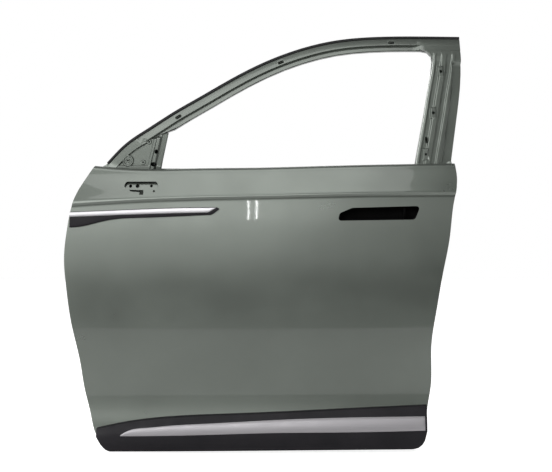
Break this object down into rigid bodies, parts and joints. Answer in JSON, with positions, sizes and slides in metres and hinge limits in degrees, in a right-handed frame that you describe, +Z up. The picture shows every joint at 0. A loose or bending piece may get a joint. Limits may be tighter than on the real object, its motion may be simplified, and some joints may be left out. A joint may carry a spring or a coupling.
{
  "type": "car door",
  "caption": "Left front car door shell with framed window, flush-handle pocket, mirror opening, bright spear trim and lower cladding.",
  "frame": {"origin": "centre of the upper hinge mounting face, on the front shut face", "axes": "+X towards the rear of the car, +Y into the car, +Z up; the outer skin faces -Y"},
  "size_m": [1.1906, 0.3092, 1.2485],
  "materials": {
    "body_paint": "grey-green metallic car paint under a gloss clear coat",
    "black_plastic": "fine-grained black moulding",
    "satin_silver": "satin silver trim",
    "black_rubber": "matt black extrusion",
    "plated_steel": "bright zinc plate",
    "grey_mastic": "dull grey filled mastic"
  },
  "bodies": {
    "root": {"b_pillar_outer": "body_paint", "beam_bracket_front": "body_paint", "beam_bracket_rear": "body_paint", "belt_rail_inner": "body_paint", "belt_rail_outer": "body_paint", "check_plate": "body_paint", "check_plate_nut_1": "plated_steel", "check_plate_nut_2": "plated_steel", "cladding": "black_plastic", "cladding_accent": "satin_silver", "cladding_clip_1": "black_plastic", "cladding_clip_2": "black_plastic", "cladding_clip_3": "black_plastic", "cladding_clip_4": "black_plastic", "cladding_clip_5": "black_plastic", "cladding_clip_6": "black_plastic", "cladding_lip": "black_rubber", "damping_pad_1": "grey_mastic", "damping_pad_2": "grey_mastic", "flutter_pad_1": "grey_mastic", "flutter_pad_2": "grey_mastic", "flutter_pad_3": "grey_mastic", "front_glass_guide": "body_paint", "front_run_post": "body_paint", "handle_carrier": "black_plastic", "header_outer": "body_paint", "header_seal": "black_rubber", "hinge_plate_lower": "body_paint", "hinge_plate_lower_nut_1": "plated_steel", "hinge_plate_lower_nut_2": "plated_steel", "hinge_plate_upper": "body_paint", "hinge_plate_upper_nut_1": "plated_steel", "hinge_plate_upper_nut_2": "plated_steel", "impact_beam": "plated_steel", "inner_panel": "body_paint", "latch_plate": "body_paint", "mirror_bracket": "body_paint", "mirror_flag": "body_paint", "outer_panel": "body_paint", "rear_glass_guide": "body_paint", "spear_base": "black_plastic", "spear_bright": "satin_silver"}
  },
  "joints": []
}
